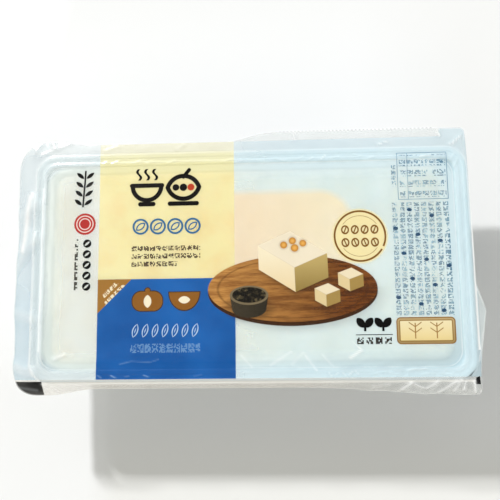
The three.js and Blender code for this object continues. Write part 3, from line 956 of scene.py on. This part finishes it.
def lay_register_marks(lid, u, v):
    """Black register marks at the front corners, for the machine that cuts the film, a dark wedge
    along the flange's front right corner, and a painted highlight across the left mark.
    """
    left = lid.polygon((-95, -55), (-78.8, -55), (-80.2, -46.5), (-95, -46.5)).inside()
    right = lid.polygon((83, -48.6), (84.9, -48.6), (84.7, -45.6), (83.3, -46.2)).inside()
    wedge = lid.polygon((80.2, -46), (81.6, -45.6), (83.8, -42.6)).inside(0.3) * 0.8
    lid.lay(left | right | wedge, 0x050607, SOLID)
    # A painted highlight across the left mark.
    painted_gleam = lid.stroke((-91.5, -48.4), (-82, -49.8), 0.3).between(0.7, -0.2) * 0.5
    lid.lay(left * painted_gleam, 0x74787A, SOLID)


def lay_painted_highlights(lid, u, v):
    """Painted highlights: a pale band at the back of the yellow panel, where the film leaves the
    flange, a line along the mouth at the left, and on the crests of the folds, light blue over
    the blue panel."""
    # Painted highlight where the film leaves the flange at the back.
    behind = v.between(42.4, 43.2) * u.below(YELLOW_PANEL[1])
    lid.lay(behind * 0.36, 0xFFFFFF, THIN)
    # Painted highlight along the mouth's edge at the left.
    line = lid.box(-82, -81.8, -35, 29)
    lid.lay(line.between(0.5, 0) * 0.7, 0xFFFFFF, 0.8)
    # Painted highlights on the fold crests, light blue over the blue panel.
    crests = lid.node("Attribute", {"attribute_name": "fold_white"}).outputs["Fac"]
    on_blue = lid.box(*BLUE_PANEL).inside()
    lid.lay(Field(lid, crests), lid.mix(on_blue, 0xFCFDFD, 0xA6D0F7), THIN)


def film_finish():
    """Clear film that carries the print, with a smooth skin, faint ripples and a thin mirror over
    it."""
    lid = Print("printed film", 0xE6EDEE, 0.46)
    cloud = lid.noise(11, detail=3)
    lay_tint(lid, lid.u, lid.v, cloud)
    for lay in (lay_ridge_light_and_shade, lay_panels, lay_emblems, lay_roundels, lay_dish_marks,
                lay_side_marks, lay_serving, lay_badge, lay_facts, lay_plaque, lay_register_marks,
                lay_painted_highlights):
        lay(lid, lid.u, lid.v)
    normal = lid.bump(lid.noise(2.6, detail=3, roughness=0.55), 0.1)
    body = lid.skin(
        Base_Color=lid.colour,
        Roughness=0.25 + 0.15 * cloud,
        # The two faces of the film each carry part of the opacity: 1 - (1 - a)² is the whole.
        Alpha=1 - (1 - lid.opacity).root(),
        Normal=normal,
        Specular_IOR_Level=0.15,
    )
    shine = {"Color": (1, 1, 1, 1), "Roughness": 0.17, "Normal": normal}
    mirror = lid.node("BsdfAnisotropic", {}, shine).outputs[0]
    # Where the film lies on the tray, the light that it scatters goes on into the pack. Its loose
    # margin casts a shadow.
    on_strip = (lid.v - STRIP_EDGE).inside(0.3)
    on_flange = lid.box(*FLANGE_FACE).below(0)
    margin = lid.blend(on_strip, lid.opening(0.24), lid.opening(0.75))
    passed = lid.blend(on_flange, margin, lid.opening(0.98))
    return lid.show(lid.blend(0.05, body, mirror), passed)


def tray_finish():
    """Milky formed sheet: pale, a little see-through, cloudier in places, with a satin skin and
    painted shade on the ledge away from the lamp.
    """
    finish = Finish("milky tray")
    cloud = finish.noise(14, detail=3)
    x, y, z = finish.split(finish.millimetres)
    lamp_side = x.below(20 - HALF_LENGTH) * y.between(-28, -14)
    lamp_side = lamp_side | (y.above(HALF_WIDTH - 12) * x.below(74))
    colour = finish.mix(cloud, 0xE6EAEB, 0xEFF2F2)
    # Painted shade: the ledge is darker on the sides away from the lamp.
    ledge = z.below(FLANGE_TOP - 1) * z.above(FLANGE_TOP - LEDGE_DEPTH - 0.7) * (1 - lamp_side)
    body = finish.skin(
        Base_Color=finish.mix(ledge, colour, 0xC2D2D8),
        Roughness=0.24 + 0.16 * cloud,
        Alpha=finish.mix_numbers(
            z.above(FLANGE_TOP - 4), 0.54 + 0.1 * cloud, 0.78 + 0.12 * cloud),
        Normal=finish.bump(finish.noise(2.2, detail=3, stretch=(1, 1, 0.35)), 0.06),
        IOR=1.49,
    )
    # Light soaks through the flange's inner edge on the lamp's side and reaches the ledge.
    inner = ((abs(x) - HALF_LENGTH + 2.4) | (abs(y) - HALF_WIDTH + 2.4)).below(0)
    soaked = inner * lamp_side * z.above(FLANGE_TOP - LEDGE_DEPTH + 0.25)
    return finish.show(body, finish.blend(soaked, finish.opening(0.05), finish.opening(0.98)))


def tofu_finish():
    """Soft set curd: cream white, faintly mottled, with fine pits and a wet skin."""
    finish = Finish("soft tofu")
    mottle = finish.noise(15, detail=4)
    return finish.show(finish.skin(
        Base_Color=finish.mix(mottle.between(0.3, 0.7), 0xEEE1C9, 0xF3ECE0),
        Roughness=0.3 + 0.15 * mottle,
        Normal=finish.bump(finish.noise(0.9, detail=3, roughness=0.7), 0.12),
        IOR=1.4,
        Subsurface_Weight=0.25,
        Subsurface_Radius=(0.006, 0.005, 0.003),
    ))


# ------------------------------ Stage, light and camera

FLOOR_SIZE = 3000
LENS, SENSOR = 43.2, 36
NEAREST = 0.01  # metres
KEY_PLACE = (-290, 388, 412)
KEY_RADIUS = 17
KEY_POWER = 32.2
KEY_EVENNESS = 0.66 / (KEY_PLACE[2] * MM)  # share of its power for each metre of a ray
OVERHEAD_LIGHT, AROUND_LIGHT, BAND_LIGHT, WALL_LIGHT = 0.06, 0.32, 0.6, 1.22
WARM_LIGHT, COOL_LIGHT = (1, 0.975, 0.89, 1), (0.95, 1, 1.02, 1)
CAMERA_PLACE = (11.61, -25.76, 268.65)
CAMERA_AIM = (0.52, 5.33, 38.75)
CAMERA_TOP = (0.0115, 1, 0)


def make_floor():
    """A pale sheet that the pack stands on, with painted light behind the pack and at its left,
    and painted shade in its cast shadow in front.
    """
    finish = Finish("pale floor")
    x, y, _ = finish.split(finish.millimetres)
    colour = finish.mix(finish.noise(60), 0xE9EAEB, 0xEBEBEB)
    # Painted light on the floor behind the pack and at its left.
    far = (y.between(34, 56) * y.between(150, 84)) | (x.between(-80, -96) * y.between(-50, -10))
    colour = finish.mix(far * x.between(100, 48), colour, 0xF3F4F6)
    # Painted shade in the cast shadow in front of the pack.
    near = y.between(-60, -84) * x.between(-74, -60)
    colour = finish.mix(near, colour, 0xE4E4E2)
    mesh = bpy.data.meshes.new("floor")
    half = FLOOR_SIZE / 2 * MM
    corners = [(-half, -half, 0), (half, -half, 0), (half, half, 0), (-half, half, 0)]
    mesh.from_pydata(corners, [], [(0, 1, 2, 3)])
    skin = finish.skin(Base_Color=colour, Roughness=0.75, Specular_IOR_Level=0.2)
    mesh.materials.append(finish.show(skin))
    floor = add("floor", mesh)


def make_key():
    """A round lamp at the back left. Its light grows with distance as much as the slant of its
    rays weakens it, so that the floor is lit evenly."""
    light = bpy.data.lights.new("key", "POINT")
    light.energy = KEY_POWER
    light.shadow_soft_size = KEY_RADIUS * MM
    nodes = Nodes(light)
    falloff = nodes.node("LightFalloff", {}, {"Strength": 1})
    distance = nodes.node("LightPath").outputs["Ray Length"]
    even = Field(nodes, falloff.outputs["Constant"]) * Field(nodes, distance) * KEY_EVENNESS
    glow = nodes.node("Emission", {}, {"Strength": even}).outputs[0]
    nodes.node("OutputLight", {}, {"Surface": glow})
    add("key", light).location = Vector(KEY_PLACE) * MM


def make_surround():
    """The pale room: dark straight above, brighter around, brightest in a soft band at mid height
    behind and to the left, and with a pale wall in front. It is warmer in front than at the
    right."""
    world = bpy.data.worlds.new("surround")
    sky = Nodes(world)
    towards = sky.node("TexCoord").outputs["Generated"]
    up, lampwards, frontwards, rightwards = (
        sky.length("DOT_PRODUCT", towards, way)
        for way in ((0, 0, 1), (-0.6, 0.8, 0), (0.35, -0.94, 0), (0.9, 0.44, 0)))
    band = up.between(0.93, 0.84) * up.between(0.42, 0.56) * lampwards.between(-0.05, 0.5)
    wall = up.between(0.76, 0.6) * up.between(0.12, 0.42) * frontwards.between(-0.3, 0.6)
    around = up.between(0.95, 0.82)
    strength = OVERHEAD_LIGHT + AROUND_LIGHT * around + BAND_LIGHT * band + WALL_LIGHT * wall
    tone = sky.mix(rightwards.between(-0.2, 0.8), WARM_LIGHT, COOL_LIGHT)
    glow = sky.node("Background", {}, {"Color": tone, "Strength": strength}).outputs[0]
    sky.node("OutputWorld", {}, {"Surface": glow})
    bpy.context.scene.world = world
    bpy.context.scene.view_settings.view_transform = "Standard"


def make_camera():
    """A camera almost straight above, turned by the line that is upright in its picture."""
    lens = bpy.data.cameras.new("camera")
    lens.lens, lens.sensor_width, lens.clip_start = LENS, SENSOR, NEAREST
    camera = add("camera", lens)
    place = Vector(CAMERA_PLACE)
    forward = (Vector(CAMERA_AIM) - place).normalized()
    right = forward.cross(Vector(CAMERA_TOP)).normalized()
    turn = Matrix((right, right.cross(forward), -forward)).transposed()
    camera.matrix_world = Matrix.LocRotScale(place * MM, turn.to_quaternion(), None)
    bpy.context.scene.camera = camera


def dress(piece, node, material):
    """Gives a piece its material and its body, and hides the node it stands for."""
    piece.data.materials.append(material)
    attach(piece, "root")
    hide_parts(node)


make_camera()
make_key()
make_surround()
make_floor()
dress(make_tray(), "tray", tray_finish())
dress(make_block(), "tofu", tofu_finish())
dress(make_film(), "lid_film", film_finish())
